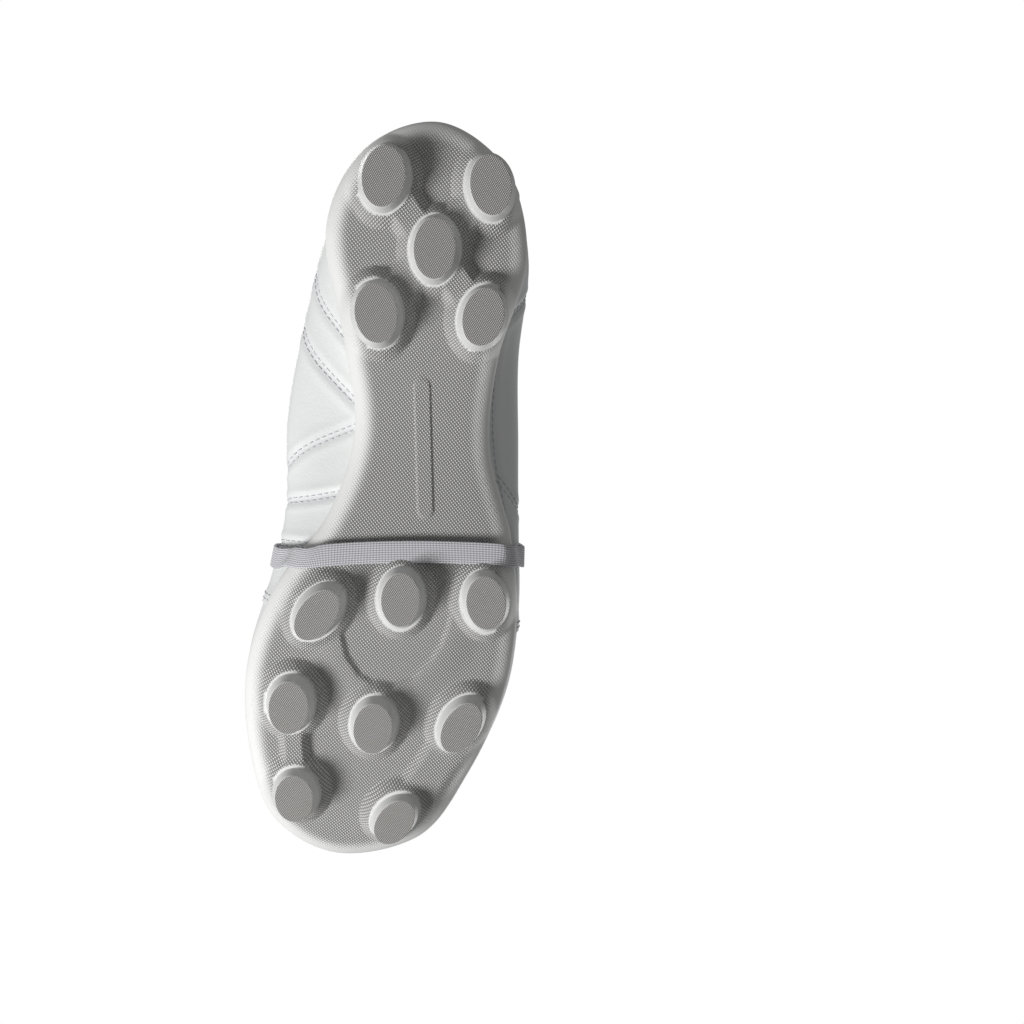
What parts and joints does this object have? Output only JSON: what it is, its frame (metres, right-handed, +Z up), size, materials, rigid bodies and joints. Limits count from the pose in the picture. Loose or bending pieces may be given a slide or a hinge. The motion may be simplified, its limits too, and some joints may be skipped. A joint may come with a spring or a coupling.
{
  "type": "soccer cleat",
  "caption": "Low-cut leather soccer cleat for the right foot, with oval moulded studs, a fold-over tongue held by an elastic band, and a loose sockliner.",
  "frame": {"origin": "on the ground under the middle of the shoe's box, where the studs stand", "axes": "+X from heel to toe, +Y to the medial (big toe) side, +Z up"},
  "size_m": [0.3235, 0.115, 0.1354],
  "materials": {
    "sole": "matte moulded rubber with a fine raised diamond texture",
    "stud": "harder moulded stud, smooth on its sides, with a finely textured wear face",
    "shank": "hard nylon stiffener",
    "foam": "open cell foam",
    "board": "pressed fibre board",
    "footbed": "knit cover over foam",
    "leather": "smooth off-white leather with a soft sheen",
    "leather_trim": "smooth off-white leather trim",
    "tongue_leather": "soft off-white leather",
    "eyelet": "satin white rings",
    "lining": "brushed textile lining",
    "lace": "flat woven polyester lace",
    "elastic": "woven elastic with lengthwise ribs"
  },
  "bodies": {
    "shoe": {"outsole": "sole", "heel_studs": "stud", "forefoot_studs": "stud", "shank": "shank", "bottom_filler": "foam", "insole_board": "board", "vamp": "leather", "medial_quarter": "leather", "lateral_quarter": "leather", "heel_overlay": "leather_trim", "medial_eyestay": "leather_trim", "lateral_eyestay": "leather_trim", "medial_eyelets": "eyelet", "lateral_eyelets": "eyelet", "toe_puff": "board", "heel_counter": "board", "vamp_lining": "lining", "medial_lining": "lining", "lateral_lining": "lining", "collar_padding": "foam", "collar_binding": "leather_trim", "tongue": "tongue_leather", "tongue_padding": "foam", "tongue_lining": "lining", "lace": "lace", "elastic_band": "elastic"},
    "flap": {"tongue_flap": "tongue_leather", "flap_lining": "lining"},
    "footbed": {"sockliner": "footbed"}
  },
  "joints": [
    {"name": "flap_lift", "type": "hinge", "parent": "shoe", "child": "flap", "pos_m": [-0.0536, 0, 0.1286], "axis": [0, -1, 0], "range_deg": [0, 35], "stiffness_Nm_per_rad": 0.2, "deforming": ["elastic_band"]},
    {"name": "sockliner_lift", "type": "hinge", "parent": "shoe", "child": "footbed", "pos_m": [0.1528, 0, 0.0283], "axis": [0, 1, 0], "range_deg": [0, 5]}
  ]
}
